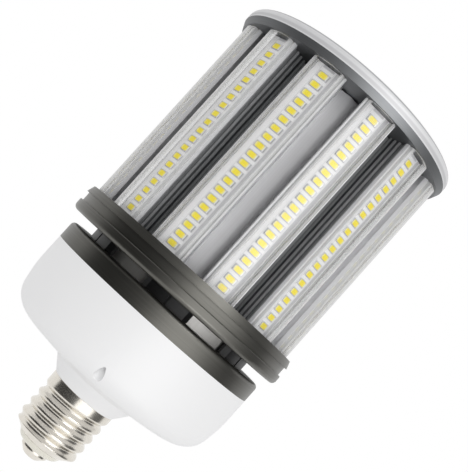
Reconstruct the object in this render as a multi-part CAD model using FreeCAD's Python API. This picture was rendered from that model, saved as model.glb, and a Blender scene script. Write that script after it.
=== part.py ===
"""Corn lamp with a mogul screw base: twelve covered light bars on six heat sink extrusions.

All lengths are in millimetres. The origin is the tip of the centre contact, and +Z runs along
the axis of the lamp from the screw base to the end cap. The front of the lamp faces -Y.
"""
import FreeCAD
import Part
import math
import os

os.makedirs("parts", exist_ok=True)

# Screw base, with the sizes of the mogul thread
thread_crest_radius = 19.75
thread_depth = 1.8
thread_pitch = 6.35
thread_turns = 4.25
thread_crest_flat = 0.7
thread_overcut = 1.0
shell_length = 33.9
shell_wall = 0.6
shell_end_radius = 13.8
shell_end_height = 4.2
shell_collar_height = 5.1
contact_height = 4.9
contact_radius = 8.3
contact_tip_radius = 4.4
contact_round = 2.6
contact_stem_radius = 2.5
contact_stem_length = 7.0
insulator_height = 4.2
insulator_shoulder = 1.2
insulator_plug_length = 5.0
insulator_bulge = 0.9

# Driver housing
neck_height = 9.0
neck_flare = 6.9
spigot_length = 20.0
wire_bore_radius = 13.0
housing_radius = 65.1
housing_height = 45.1
housing_wall = 2.5
housing_corner = 14.2
bowl_rise = 6.5
wall_draft = 3.2
shoulder_drop = 18.3
shoulder_round = 60.0
lip_height = 3.0
lip_wall = 1.6
column_radius = 4.6
column_inset = 4.1
column_count = 3
well_radius = 2.4
well_roof = 12.0
standoff_radius = 3.0
standoff_inset = 10.0

# Ring that closes the housing
ring_height = 10.2
ring_plate = 3.0
ring_wall = 2.4
ring_round = 2.4
ring_boss_setback = 0.6

# Vent between the ring and the flange
vent_gap = 5.6
post_count = 6
post_angle = 32.0
post_thickness = 3.8
post_gap = 2.2
post_slot_width = 1.4
post_slot_depth = 1.6
post_bevel_width = 3.3
post_bevel_depth = 2.0
post_screw_count = 3
sleeve_wall = 1.5
sleeve_seat = 1.5

# Lower flange
bead_height = 5.9
bead_round = 2.6
recess_height = 4.9
recess_depth = 1.4
brim_height = 4.2
brim_width = 3.4
brim_taper = 1.3
brim_gap = 0.4
dish_depth = 1.9
flange_plate = 4.0
flange_rim = 10.0
hub_margin = 1.5
hub_wall = 2.5

# Heat sink extrusions
segment_count = 6
bars_per_segment = 2
bar_length = 117.0
core_radius = 46.5
core_wall = 2.7
leg_spacing = 8.0
leg_wall = 1.5
land_thickness = 1.8
land_web = 2.2
core_recess = 0.8
rib_count = 3
rib_width = 1.3
rib_height = 1.3
port_radius = 3.6
port_inset = 2.3

# Light bars
chip_face_radius = 61.3
chip_count = 20
chip_width = 5.7
chip_length = 3.0
chip_height = 0.8
row_margin = 2.2
row_top_margin = 3.8
board_width = 14.0
board_thickness = 1.2
board_end_gap = 0.2
rail_lip_wall = 0.7
rail_lip_height = 1.6
rail_wall = 0.9
rail_height = 2.7
rail_flank = 2.0
groove_floor = 0.8
cover_wall = 0.8
cover_foot = 3.9
cover_rise = 2.4

# End cap
cap_thickness = 3.6
cap_overhang = 0.9
cap_flare = 1.7
cover_plate_thickness = 5.8
cover_plate_round = 3.2

# Driver
driver_level = 28.0
driver_board_thickness = 1.6
driver_board_gap = 1.0
transformer_width = 30.0
transformer_depth = 26.0
transformer_height = 19.0
transformer_place = 16.0
capacitor_radius = 7.0
capacitor_height = 17.0
capacitor_circle = 36.0
lead_radius = 1.0
lead_circle = 29.0
lead_bend = 8.0
lead_level = 24.0

# Screws
screw_radius = 1.5
screw_head_radius = 2.9
screw_head_height = 2.0
small_screw_radius = 1.2
small_head_radius = 2.2
small_head_height = 1.7
screw_bite = 8.0
post_screw_bite = 3.2
housing_screw_bite = 5.0

# Clearances
fit_gap = 0.1
seam_gap = 0.1
end_gap = 0.15
slide_gap = 0.15

# Heights along the axis
shell_bottom = contact_height + insulator_height
shell_top = shell_bottom + shell_length
bowl_bottom = shell_top + neck_height
ring_bottom = bowl_bottom + housing_height
ring_top = ring_bottom + ring_height
flange_bottom = ring_top + vent_gap
flange_top = flange_bottom + bead_height + recess_height + brim_height
bar_bottom = flange_top - dish_depth
bar_top = bar_bottom + bar_length
cover_plate_bottom = bar_top + cap_thickness
lamp_top = cover_plate_bottom + cover_plate_thickness
driver_bottom = bowl_bottom + driver_level
driver_top = driver_bottom + driver_board_thickness

# Radii and places that follow from the sizes above
thread_root_radius = thread_crest_radius - thread_depth
shell_bore = thread_root_radius - shell_wall
plug_radius = shell_end_radius - insulator_shoulder
column_circle = housing_radius - column_inset
ring_boss_radius = column_inset - ring_boss_setback
ring_inner_radius = housing_radius - ring_wall
lip_radius = ring_inner_radius - fit_gap
driver_radius = column_circle - column_radius - driver_board_gap
standoff_circle = driver_radius - standoff_inset
bar_count = segment_count * bars_per_segment
bar_step = 360.0 / bar_count
segment_step = 360.0 / segment_count
board_seat = chip_face_radius - chip_height - board_thickness
row_length = bar_length - dish_depth - row_margin - row_top_margin
chip_pitch = (row_length - chip_length) / (chip_count - 1)
land_half = board_width / 2 + slide_gap
groove_inner = land_half + rail_lip_wall
groove_outer = groove_inner + cover_wall + 2 * slide_gap
rail_half = groove_outer + rail_wall
cover_bottom = board_seat + groove_floor + fit_gap
cover_spring = cover_bottom + cover_foot
cover_crown = cover_spring + cover_rise
brim_inner_radius = cover_crown + brim_gap
flange_radius = brim_inner_radius + brim_width
hub_radius = core_radius + hub_margin
sleeve_radius = hub_radius
post_inner_radius = sleeve_radius + post_gap
post_outer_radius = post_inner_radius + post_thickness
post_screw_circle = (post_inner_radius + post_outer_radius) / 2
core_inner_radius = core_radius - core_wall
port_circle = core_inner_radius - port_inset
air_bore_radius = port_circle - screw_head_radius - fit_gap - hub_wall
cap_radius = cover_crown + cap_overhang + cap_flare
leg_half = leg_spacing / 2 + leg_wall
large_screw = (screw_radius, screw_head_radius, screw_head_height)
small_screw = (small_screw_radius, small_head_radius, small_head_height)


def outline(points, place):
    """Closed wire through points (u, v) or (u, v, rounding), each laid in space by place(u, v)."""
    count = len(points)
    turns = []
    for i in range(count):
        here = FreeCAD.Vector(points[i][0], points[i][1], 0)
        back = FreeCAD.Vector(points[i - 1][0], points[i - 1][1], 0) - here
        after = points[(i + 1) % count]
        ahead = FreeCAD.Vector(after[0], after[1], 0) - here
        if len(points[i]) < 3:
            turns.append((here, None, here))
            continue
        half = back.getAngle(ahead) / 2
        reach = min(points[i][2] / math.tan(half), 0.49 * back.Length, 0.49 * ahead.Length)
        radius = reach * math.tan(half)
        inward = (back.normalize() + ahead.normalize()).normalize()
        middle = here + inward * (radius / math.sin(half) - radius)
        turns.append((here + back * reach, middle, here + ahead * reach))
    edges = []
    for i in range(count):
        start, middle, end = [None if p is None else place(p.x, p.y) for p in turns[i]]
        follow = place(turns[(i + 1) % count][0].x, turns[(i + 1) % count][0].y)
        if middle is not None:
            edges.append(Part.Arc(start, middle, end).toShape())
        edges.append(Part.LineSegment(end, follow).toShape())
    return Part.Wire(edges)


def turned(points):
    """Solid of revolution about the lamp's axis, from an outline of radii and heights."""
    face = Part.Face(outline(points, lambda r, z: FreeCAD.Vector(r, 0, z)))
    return face.revolve(FreeCAD.Vector(0, 0, 0), FreeCAD.Vector(0, 0, 1), 360)


def drawn(points, bottom, height):
    """Straight extrusion along Z, from an outline of (tangential, radial) places at the front."""
    face = Part.Face(outline(points, lambda t, n: FreeCAD.Vector(t, -n, bottom)))
    return face.extrude(FreeCAD.Vector(0, 0, height))


def around(shape, angle):
    """Copy of a shape that stands at the front, turned about the axis towards +X."""
    copy = shape.copy()
    copy.rotate(FreeCAD.Vector(0, 0, 0), FreeCAD.Vector(0, 0, 1), angle)
    return copy


def rod(radius, circle, bottom, top):
    """Upright cylinder at the front, with its axis on a circle about the lamp's axis."""
    return Part.makeCylinder(radius, top - bottom, FreeCAD.Vector(0, -circle, bottom))


def sector(inner, outer, angle, bottom, height):
    """Part of a ring that spans an angle, centred at the front."""
    tube = Part.makeCylinder(outer, height, FreeCAD.Vector(0, 0, bottom), FreeCAD.Vector(0, 0, 1), angle)
    hole = Part.makeCylinder(inner, height, FreeCAD.Vector(0, 0, bottom))
    return around(tube.cut(hole), -90 - angle / 2)


def pattern(shape, count, first=0.0):
    """List of equal copies around the axis."""
    return [around(shape, first + i * 360.0 / count) for i in range(count)]


def save(name, shape):
    """One STEP file for each node."""
    shape.exportStep("parts/" + name + ".step")


def screw(size, circle, seat, tip, upward):
    """Pan head screw at the front: the head lies outside the seat and the shank ends at the tip."""
    shank_radius, head_radius, head_height = size
    head_far = seat - head_height if upward else seat + head_height
    head = rod(head_radius, circle, min(seat, head_far), max(seat, head_far))
    shank = rod(shank_radius, circle, min(seat, tip), max(seat, tip))
    return head.fuse(shank).removeSplitter()


def polar(radius, angle):
    """Point (across, outward) at an angle from the front."""
    return radius * math.sin(math.radians(angle)), radius * math.cos(math.radians(angle))


# Centre contact: a domed button with a stem in the insulator
stem_top = contact_height + contact_stem_length
save("centre_contact", turned([
    (0, 0),
    (contact_tip_radius, 0, contact_round),
    (contact_radius, contact_height * 0.72, contact_round),
    (contact_radius, contact_height),
    (contact_stem_radius, contact_height),
    (contact_stem_radius, stem_top),
    (0, stem_top),
]))

# Insulator: a cone between the contact and the shell, with a plug inside the shell's end
insulator_middle = (contact_radius + shell_end_radius) / 2
plug_top = shell_bottom + insulator_plug_length
stem_hole = contact_stem_radius + fit_gap
save("base_insulator", turned([
    (stem_hole, contact_height),
    (contact_radius, contact_height),
    (insulator_middle + insulator_bulge, contact_height + insulator_height / 2 - insulator_bulge, 4.0),
    (shell_end_radius, shell_bottom),
    (plug_radius, shell_bottom),
    (plug_radius, plug_top),
    (stem_hole, plug_top),
]))

# Screw shell: a thin cup with a coned end, cut by a right hand helical groove of one start
cone_top = shell_bottom + shell_end_height
shell_hole = plug_radius + fit_gap
shell_outside = turned([
    (0, shell_bottom),
    (shell_end_radius, shell_bottom),
    (thread_crest_radius, cone_top),
    (thread_crest_radius, shell_top),
    (0, shell_top),
])
shell_inside = turned([
    (0, shell_bottom),
    (shell_hole, shell_bottom),
    (shell_hole, shell_bottom + shell_wall),
    (shell_bore, cone_top),
    (shell_bore, shell_top),
    (0, shell_top),
])
groove_half = (thread_pitch - thread_crest_flat) / 2
groove_mouth = thread_crest_radius + thread_overcut
groove_path = Part.makeHelix(thread_pitch, thread_turns * thread_pitch, thread_crest_radius)
groove_low = FreeCAD.Vector(groove_mouth, 0, -groove_half)
groove_deep = FreeCAD.Vector(thread_root_radius, 0, 0)
groove_high = FreeCAD.Vector(groove_mouth, 0, groove_half)
groove_section = Part.Wire([
    Part.Arc(groove_low, groove_deep, groove_high).toShape(),
    Part.LineSegment(groove_high, groove_low).toShape(),
])
groove = Part.Wire(groove_path.Edges).makePipeShell([groove_section], True, True)
groove.translate(FreeCAD.Vector(0, 0, shell_top - shell_collar_height - thread_turns * thread_pitch))
save("screw_shell", shell_outside.cut(groove).cut(shell_inside))

# Driver housing: a bowl with a wide round corner, a flared neck and a spigot inside the shell
bowl_edge = bowl_bottom + bowl_rise
shoulder = ring_bottom - shoulder_drop
neck_top_radius = thread_crest_radius + neck_flare
spigot_radius = shell_bore - fit_gap
spigot_bottom = shell_top - spigot_length
lip_top = ring_bottom + lip_height
inner_radius = housing_radius - housing_wall
inner_corner = housing_corner - housing_wall
lip_inner_radius = lip_radius - lip_wall
bowl_outside = turned([
    (0, spigot_bottom),
    (spigot_radius, spigot_bottom),
    (spigot_radius, shell_top),
    (thread_crest_radius, shell_top),
    (neck_top_radius, bowl_bottom, 1.5),
    (housing_radius - wall_draft, bowl_edge, housing_corner),
    (housing_radius, shoulder, shoulder_round),
    (housing_radius, ring_bottom),
    (lip_radius, ring_bottom),
    (lip_radius, lip_top),
    (0, lip_top),
])
bowl_inside = turned([
    (0, spigot_bottom),
    (wire_bore_radius, spigot_bottom),
    (wire_bore_radius, bowl_bottom + housing_wall),
    (neck_top_radius, bowl_bottom + housing_wall),
    (inner_radius - wall_draft, bowl_edge + housing_wall, inner_corner),
    (inner_radius, shoulder, shoulder_round),
    (inner_radius, ring_bottom - lip_wall),
    (lip_inner_radius, ring_bottom),
    (lip_inner_radius, lip_top),
    (0, lip_top),
])
column = rod(column_radius, column_circle, bowl_bottom, ring_bottom).common(bowl_outside)
standoff = rod(standoff_radius, standoff_circle, bowl_bottom, driver_bottom).common(bowl_outside)
well_top = ring_bottom - well_roof
well = rod(well_radius, column_circle, bowl_bottom, well_top)
column_hole = rod(small_screw_radius + fit_gap, column_circle, bowl_bottom, lip_top)
boss_room = rod(ring_boss_radius + fit_gap, column_circle, ring_bottom, lip_top)
housing = bowl_outside.cut(bowl_inside)
housing = housing.fuse(pattern(column, column_count) + pattern(standoff, column_count, 180.0 / column_count))
housing = housing.cut(pattern(well.fuse([column_hole, boss_room]), column_count))
save("driver_housing", housing.removeSplitter())

# Driver board on its stand-offs, with a transformer, capacitors and the leads to the light bars
save("driver_board", Part.makeCylinder(
    driver_radius, driver_board_thickness, FreeCAD.Vector(0, 0, driver_bottom)))
save("driver_transformer", Part.makeBox(
    transformer_width, transformer_depth, transformer_height,
    FreeCAD.Vector(-transformer_width / 2, -transformer_place - transformer_depth / 2, driver_top)))
capacitor = rod(capacitor_radius, capacitor_circle, driver_top, driver_top + capacitor_height)
save("driver_capacitors", Part.makeCompound(pattern(capacitor, 2, 90.0)))

# Ring: a rounded cover plate with a wall over the housing's lip and a boss over each column
plate_bottom = ring_top - ring_plate
ring = turned([
    (air_bore_radius, plate_bottom),
    (ring_inner_radius, plate_bottom),
    (ring_inner_radius, ring_bottom),
    (housing_radius, ring_bottom),
    (housing_radius, ring_top, ring_round),
    (sleeve_radius + fit_gap, ring_top),
    (sleeve_radius + fit_gap, ring_top - sleeve_seat),
    (air_bore_radius, ring_top - sleeve_seat),
])
ring_boss = rod(ring_boss_radius, column_circle, ring_bottom, plate_bottom)
boss_top = ring_bottom + housing_screw_bite + end_gap
boss_hole = rod(small_screw_radius + fit_gap, column_circle, ring_bottom, boss_top)
plate_hole = rod(small_screw_radius + fit_gap, post_screw_circle, plate_bottom, ring_top)
ring = ring.fuse(pattern(ring_boss, column_count))
post_screw_first = 180.0 / post_screw_count + post_angle / 4
plate_holes = pattern(plate_hole, post_screw_count, post_screw_first)
ring = ring.cut(pattern(boss_hole, column_count) + plate_holes)
save("housing_ring", ring.removeSplitter())

# Vent posts with a slot and bevelled ends, and the air sleeve behind them
post_screw_tip = flange_bottom + post_screw_bite
post = sector(post_inner_radius, post_outer_radius, post_angle, ring_top, vent_gap)
slot_floor = post_outer_radius - post_slot_depth
slot_mouth = post_outer_radius + post_slot_depth
post_slot = drawn([
    (-post_slot_width / 2, slot_floor),
    (post_slot_width / 2, slot_floor),
    (post_slot_width / 2, slot_mouth),
    (-post_slot_width / 2, slot_mouth),
], ring_top, vent_gap)
bevel_angle = math.degrees(post_bevel_width / post_outer_radius)
bevel_section = [
    polar(post_outer_radius, post_angle / 2 - bevel_angle),
    polar(post_outer_radius - post_bevel_depth, post_angle / 2),
    polar(post_outer_radius - post_bevel_depth, post_angle / 2 + bevel_angle),
    polar(post_outer_radius + post_bevel_depth, post_angle / 2),
]
right_bevel = drawn(bevel_section, ring_top, vent_gap)
left_bevel = drawn([(-t, n) for t, n in reversed(bevel_section)], ring_top, vent_gap)
post = post.cut([post_slot, right_bevel, left_bevel])
post_bore = rod(small_screw_radius + fit_gap, post_screw_circle, ring_top, flange_bottom)
post_bores = pattern(post_bore, post_screw_count, post_screw_first)
save("vent_posts", Part.makeCompound([piece.cut(post_bores) for piece in pattern(post, post_count)]))
sleeve_bottom = ring_top - sleeve_seat
sleeve_top = flange_bottom + sleeve_seat
sleeve_inner_radius = sleeve_radius - sleeve_wall
save("air_sleeve", turned([
    (sleeve_inner_radius, sleeve_bottom),
    (sleeve_radius, sleeve_bottom),
    (sleeve_radius, sleeve_top),
    (sleeve_inner_radius, sleeve_top),
]))

# Lower flange: a dished casting with a bead, a recess and a brim around the feet of the bars
bead_top = flange_bottom + bead_height
recess_top = bead_top + recess_height
recess_radius = flange_radius - recess_depth
channel_outer = flange_radius - flange_rim
channel_floor = flange_bottom + flange_plate
flange = turned([
    (air_bore_radius, flange_bottom + sleeve_seat),
    (sleeve_radius + fit_gap, flange_bottom + sleeve_seat),
    (sleeve_radius + fit_gap, flange_bottom),
    (flange_radius, flange_bottom, bead_round),
    (flange_radius, bead_top, bead_round / 2),
    (recess_radius, bead_top),
    (recess_radius, recess_top),
    (flange_radius, recess_top),
    (flange_radius - brim_taper, flange_top),
    (brim_inner_radius, flange_top),
    (brim_inner_radius, bar_bottom),
    (channel_outer, bar_bottom),
    (channel_outer, channel_floor),
    (hub_radius, channel_floor),
    (hub_radius, bar_bottom),
    (air_bore_radius, bar_bottom),
])
flange_seat = flange_bottom + sleeve_seat + screw_head_height
hub_hole = rod(screw_radius + fit_gap, port_circle, flange_bottom, bar_bottom)
hub_counterbore = rod(screw_head_radius + fit_gap, port_circle, flange_bottom, flange_seat)
post_hole = rod(small_screw_radius + fit_gap, post_screw_circle, flange_bottom, post_screw_tip + end_gap)
post_holes = pattern(post_hole, post_screw_count, post_screw_first)
flange = flange.cut(pattern(hub_hole.fuse(hub_counterbore), segment_count) + post_holes)
save("lower_flange", flange)

# Heat sink extrusion: a piece of the core wall with two lands for light bars on ribbed legs
land_under = board_seat - land_thickness
leg_foot = core_radius - core_wall / 2
rail_top = board_seat + rail_height
land_points = [
    (leg_half, leg_foot),
    (leg_half, land_under - land_web),
    (groove_inner, land_under),
    (rail_half, rail_top - rail_flank),
    (rail_half, rail_top),
    (groove_outer, rail_top),
    (groove_outer, board_seat + groove_floor),
    (groove_inner, board_seat + groove_floor),
    (groove_inner, board_seat + rail_lip_height),
    (land_half, board_seat + rail_lip_height),
    (land_half, board_seat),
]
land_section = land_points + [(-t, n) for t, n in reversed(land_points)]
cell_section = [
    (-leg_spacing / 2, core_radius),
    (leg_spacing / 2, core_radius),
    (leg_spacing / 2, land_under - land_web / 2),
    (leg_spacing / 2 - land_web / 2, land_under),
    (land_web / 2 - leg_spacing / 2, land_under),
    (-leg_spacing / 2, land_under - land_web / 2),
]
rib_reach = leg_half + rib_height
rib_pitch = (land_under - land_web - core_radius - rib_width / 2) / (rib_count - 0.5)
ribs = []
for i in range(rib_count):
    rib_middle = core_radius + rib_width / 2 + i * rib_pitch
    ribs.append(drawn([
        (-rib_reach, rib_middle - rib_width / 2),
        (rib_reach, rib_middle - rib_width / 2),
        (rib_reach, rib_middle + rib_width / 2),
        (-rib_reach, rib_middle + rib_width / 2),
    ], bar_bottom, bar_length))
land = drawn(land_section, bar_bottom, bar_length).fuse(ribs)
land = land.cut(drawn(cell_section, bar_bottom, bar_length))
seam_angle = 2 * math.degrees(seam_gap / core_radius)
wall_length = bar_length - core_recess
wall = sector(core_inner_radius, core_radius, segment_step - seam_angle, bar_bottom, wall_length)
port = rod(port_radius, port_circle, bar_bottom, bar_top)
port_hole = rod(screw_radius + fit_gap, port_circle, bar_bottom, bar_top)
land_angles = [(i - (bars_per_segment - 1) / 2) * bar_step for i in range(bars_per_segment)]
segment = wall.fuse([port] + [around(land, angle) for angle in land_angles])
segment = segment.cut(port_hole).removeSplitter()

# The leads rise inside the core and turn outwards through the rear extrusion to its two boards
lead_turn = FreeCAD.Vector(0, -lead_circle, bar_bottom + lead_level - lead_bend)
lead_elbow = FreeCAD.Vector(0, -lead_circle - lead_bend, bar_bottom + lead_level)
lead_centre = FreeCAD.Vector(0, -lead_circle - lead_bend, bar_bottom + lead_level - lead_bend)
lead_middle = lead_centre + FreeCAD.Vector(0, lead_bend, lead_bend) * math.sqrt(0.5)
lead_start = FreeCAD.Vector(0, -lead_circle, driver_top)
lead_end = FreeCAD.Vector(0, -board_seat, bar_bottom + lead_level)
lead_path = Part.Wire([
    Part.LineSegment(lead_start, lead_turn).toShape(),
    Part.Arc(lead_turn, lead_middle, lead_elbow).toShape(),
    Part.LineSegment(lead_elbow, lead_end).toShape(),
])
lead_section = Part.Wire([Part.Circle(lead_start, FreeCAD.Vector(0, 0, 1), lead_radius).toShape()])
lead = lead_path.makePipeShell([lead_section], True, False)
lead_hole = Part.makeCylinder(
    lead_radius + fit_gap, board_seat - lead_circle - lead_bend, lead_elbow, FreeCAD.Vector(0, -1, 0))
lead_angles = [180.0 + angle for angle in land_angles]
save("led_leads", Part.makeCompound([around(lead, angle) for angle in lead_angles]))
for i in range(segment_count):
    piece = around(segment, i * segment_step)
    if i * 2 == segment_count:
        piece = piece.cut([around(lead_hole, angle) for angle in lead_angles])
    save("heat_sink_" + str(i + 1), piece)

# Light bar: a board, its row of chips and a clear arched cover that slides in the rails
board_bottom = bar_bottom + board_end_gap
board_length = bar_length - 2 * board_end_gap
board = Part.makeBox(
    board_width, board_thickness, board_length,
    FreeCAD.Vector(-board_width / 2, -board_seat - board_thickness, board_bottom))
row_bottom = flange_top + row_margin
chip = Part.makeBox(
    chip_width, chip_height, chip_length,
    FreeCAD.Vector(-chip_width / 2, -chip_face_radius, row_bottom))
chips = []
for i in range(chip_count):
    copy = chip.copy()
    copy.translate(FreeCAD.Vector(0, 0, i * chip_pitch))
    chips.append(copy)
row = Part.makeCompound(chips)
foot_outer = groove_outer - slide_gap
foot_inner = foot_outer - cover_wall
cover_start = bar_bottom + end_gap
cover_points = [
    FreeCAD.Vector(foot_outer, -cover_bottom, cover_start),
    FreeCAD.Vector(foot_outer, -cover_spring, cover_start),
    FreeCAD.Vector(0, -cover_crown, cover_start),
    FreeCAD.Vector(-foot_outer, -cover_spring, cover_start),
    FreeCAD.Vector(-foot_outer, -cover_bottom, cover_start),
    FreeCAD.Vector(-foot_inner, -cover_bottom, cover_start),
    FreeCAD.Vector(-foot_inner, -cover_spring, cover_start),
    FreeCAD.Vector(0, -cover_crown + cover_wall, cover_start),
    FreeCAD.Vector(foot_inner, -cover_spring, cover_start),
    FreeCAD.Vector(foot_inner, -cover_bottom, cover_start),
]
cover_section = Part.Wire([
    Part.LineSegment(cover_points[0], cover_points[1]).toShape(),
    Part.Arc(cover_points[1], cover_points[2], cover_points[3]).toShape(),
    Part.LineSegment(cover_points[3], cover_points[4]).toShape(),
    Part.LineSegment(cover_points[4], cover_points[5]).toShape(),
    Part.LineSegment(cover_points[5], cover_points[6]).toShape(),
    Part.Arc(cover_points[6], cover_points[7], cover_points[8]).toShape(),
    Part.LineSegment(cover_points[8], cover_points[9]).toShape(),
    Part.LineSegment(cover_points[9], cover_points[0]).toShape(),
])
cover = Part.Face(cover_section).extrude(FreeCAD.Vector(0, 0, bar_length - 2 * end_gap))
for i in range(bar_count):
    angle = (i + 0.5) * bar_step
    number = str(i + 1)
    save("led_board_" + number, around(board, angle))
    save("led_chips_" + number, around(row, angle))
    save("led_cover_" + number, around(cover, angle))

# End cap: a flared plate over the bars and a rounded cover plate on top
cap_screw_seat = lamp_top - screw_head_height
cap_hole = rod(screw_radius + fit_gap, port_circle, bar_top, lamp_top)
cap_counterbore = rod(screw_head_radius + fit_gap, port_circle, cap_screw_seat, lamp_top)
cap = turned([
    (0, bar_top),
    (cap_radius - cap_flare, bar_top),
    (cap_radius, cover_plate_bottom),
    (0, cover_plate_bottom),
])
save("top_cap", cap.cut(pattern(cap_hole, segment_count)))
cover_plate = turned([
    (0, cover_plate_bottom),
    (cap_radius, cover_plate_bottom),
    (cap_radius, lamp_top, cover_plate_round),
    (0, lamp_top),
])
save("top_cover", cover_plate.cut(pattern(cap_hole.fuse(cap_counterbore), segment_count)))

# Screws that hold the stack together
cap_screw = screw(large_screw, port_circle, cap_screw_seat, bar_top - screw_bite, False)
save("cap_screws", Part.makeCompound(pattern(cap_screw, segment_count)))
flange_screw = screw(large_screw, port_circle, flange_seat, bar_bottom + screw_bite, True)
save("flange_screws", Part.makeCompound(pattern(flange_screw, segment_count)))
post_screw = screw(small_screw, post_screw_circle, plate_bottom, post_screw_tip, True)
save("post_screws", Part.makeCompound(pattern(post_screw, post_screw_count, post_screw_first)))
housing_screw = screw(small_screw, column_circle, well_top, ring_bottom + housing_screw_bite, True)
save("housing_screws", Part.makeCompound(pattern(housing_screw, column_count)))
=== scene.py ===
# %% [markdown]
# # A corn lamp with a mogul screw base
# The lamp comes in as solids at their real size, and this lesson dresses it. Solids whose shape is right
# keep their mesh and get a finish. What repeats or follows a rule, such as the rows of chips, the rolled
# thread and the screws, is grown here with Geometry Nodes and stands in for its plain solid.

# %% Bring in the solids
import math
import bpy
from mathutils import Matrix, Vector


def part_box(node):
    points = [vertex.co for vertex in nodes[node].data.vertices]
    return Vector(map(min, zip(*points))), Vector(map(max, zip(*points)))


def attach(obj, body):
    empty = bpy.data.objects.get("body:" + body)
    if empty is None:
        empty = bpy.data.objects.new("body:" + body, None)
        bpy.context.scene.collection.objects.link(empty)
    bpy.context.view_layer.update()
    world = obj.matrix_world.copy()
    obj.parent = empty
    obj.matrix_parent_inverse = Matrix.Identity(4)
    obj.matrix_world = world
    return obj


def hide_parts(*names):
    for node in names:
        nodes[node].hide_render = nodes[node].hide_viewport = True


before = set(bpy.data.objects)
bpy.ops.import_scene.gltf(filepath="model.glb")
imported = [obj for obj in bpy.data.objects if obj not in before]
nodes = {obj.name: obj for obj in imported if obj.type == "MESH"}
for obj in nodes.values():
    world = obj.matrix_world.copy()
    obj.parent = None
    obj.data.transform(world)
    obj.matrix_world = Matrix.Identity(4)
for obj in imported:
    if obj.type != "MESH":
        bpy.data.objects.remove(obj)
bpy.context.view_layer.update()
MM = 0.001

# %% [markdown]
# ## One helper for every node tree
# A material and a Geometry Nodes tree are both built from nodes, sockets and links. Clicking them together
# by hand can't be rerun, so a small function adds one node, and each value it is given is either a plain
# number or another node's output, which it links. Sums and products get short names of their own, because
# most patterns on this lamp are worked out from a place on it.

# %% Node helpers


def put(tree, kind, values=None, **settings):
    """Add one node, with its settings, plain values and links."""
    node = tree.nodes.new(kind)
    for name, setting in settings.items():
        setattr(node, name, setting)
    for name, value in (values or {}).items():
        if isinstance(value, bpy.types.NodeSocket):
            tree.links.new(value, node.inputs[name])
        else:
            node.inputs[name].default_value = value
    return node


def reckon(tree, operation, *terms):
    """One step of arithmetic, as a Math node's output."""
    return put(tree, "ShaderNodeMath", dict(enumerate(terms)), operation=operation).outputs[0]


def times(tree, first, second):
    """A product."""
    return reckon(tree, "MULTIPLY", first, second)


def plus(tree, first, second):
    """A sum."""
    return reckon(tree, "ADD", first, second)


def minus(tree, first, second):
    """A difference."""
    return reckon(tree, "SUBTRACT", first, second)


def largest(tree, first, *others):
    """The largest of several values."""
    for other in others:
        first = reckon(tree, "MAXIMUM", first, other)
    return first


def vector(tree, x=0.0, y=0.0, z=0.0):
    """A vector from numbers or outputs."""
    return put(tree, "ShaderNodeCombineXYZ", {0: x, 1: y, 2: z}).outputs[0]


# %% [markdown]
# ## What every finish shares
# No real surface has one flat colour. Each finish here starts from a noise that shifts the colour and the
# roughness a little and, as a bump, gives the fine relief. A picture of the surface could do the same, but a
# noise on Object coordinates needs no unwrapping and stays sharp from close up.

# %% Finish helpers
MIX_FIRST, MIX_SECOND, MIX_RESULT = 6, 7, 2


def blank_finish(name):
    """A new material: returns it, its tree and its Principled shader."""
    material = bpy.data.materials.new(name)
    material.use_nodes = True
    return material, material.node_tree, material.node_tree.nodes["Principled BSDF"]


def object_place(tree):
    """Object coordinates, which are the lamp's own frame."""
    return put(tree, "ShaderNodeTexCoord").outputs["Object"]


def noise_at(tree, where, detail=3.0):
    """Noise read at a place."""
    return put(tree, "ShaderNodeTexNoise", {"Vector": where, "Scale": 1.0, "Detail": detail}).outputs[0]


def stretched_noise(tree, scale, detail=3.0):
    """Noise with its own scale along each axis, in cells per metre."""
    mapped = put(tree, "ShaderNodeMapping", {"Vector": object_place(tree), "Scale": scale}).outputs[0]
    return noise_at(tree, mapped, detail)


def spread(tree, factor, low, high):
    """Map a 0 to 1 factor onto a range of plain numbers."""
    return put(tree, "ShaderNodeMapRange", {"Value": factor, "To Min": low, "To Max": high}).outputs[0]


def blend_colours(tree, factor, first, second):
    """Mix two colours, each three numbers or another node's output, by a factor."""
    ends = [end if isinstance(end, bpy.types.NodeSocket) else (*end, 1) for end in (first, second)]
    values = {"Factor": factor, MIX_FIRST: ends[0], MIX_SECOND: ends[1]}
    return put(tree, "ShaderNodeMix", values, data_type="RGBA").outputs[MIX_RESULT]


def surface(tree, shader, colour, sheen, smooth, rough, metallic=0.0, gloss=0.5):
    """A colour, a roughness that a noise spreads between two values, and plain numbers for the rest."""
    tree.links.new(colour, shader.inputs["Base Color"])
    tree.links.new(spread(tree, sheen, smooth, rough), shader.inputs["Roughness"])
    shader.inputs["Metallic"].default_value = metallic
    shader.inputs["Specular IOR Level"].default_value = gloss


def relief(tree, shader, height, strength, depth):
    """Fine relief from a height, in the shader's normal."""
    bump = put(tree, "ShaderNodeBump", {"Height": height, "Strength": strength, "Distance": depth})
    tree.links.new(bump.outputs[0], shader.inputs["Normal"])


def dress(material, *names):
    """Give CAD nodes a finish through their material slots."""
    for name in names:
        nodes[name].material_slots[0].material = material
    print(material.name, "on", len(names), "solids")


# %% [markdown]
# ## White moulded housing
# The driver housing is moulded in white flame-proof plastic with a light spark-eroded grain. A plain white
# would look like paper, and real grain would take millions of faces, so a fine noise gives the grain as
# relief and a broad one shifts the colour and the sheen a little.

# %% Housing finish
moulding, tree, shader = blank_finish("white_moulding")
broad = stretched_noise(tree, (14, 14, 14), 2.0)
grain = stretched_noise(tree, (2600, 2600, 2600), 2.0)
white = blend_colours(tree, broad, (0.83, 0.83, 0.835), (0.87, 0.87, 0.875))
surface(tree, shader, white, broad, smooth=0.52, rough=0.60, gloss=0.35)
relief(tree, shader, grain, strength=0.10, depth=0.05 * MM)
dress(moulding, "driver_housing")

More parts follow.
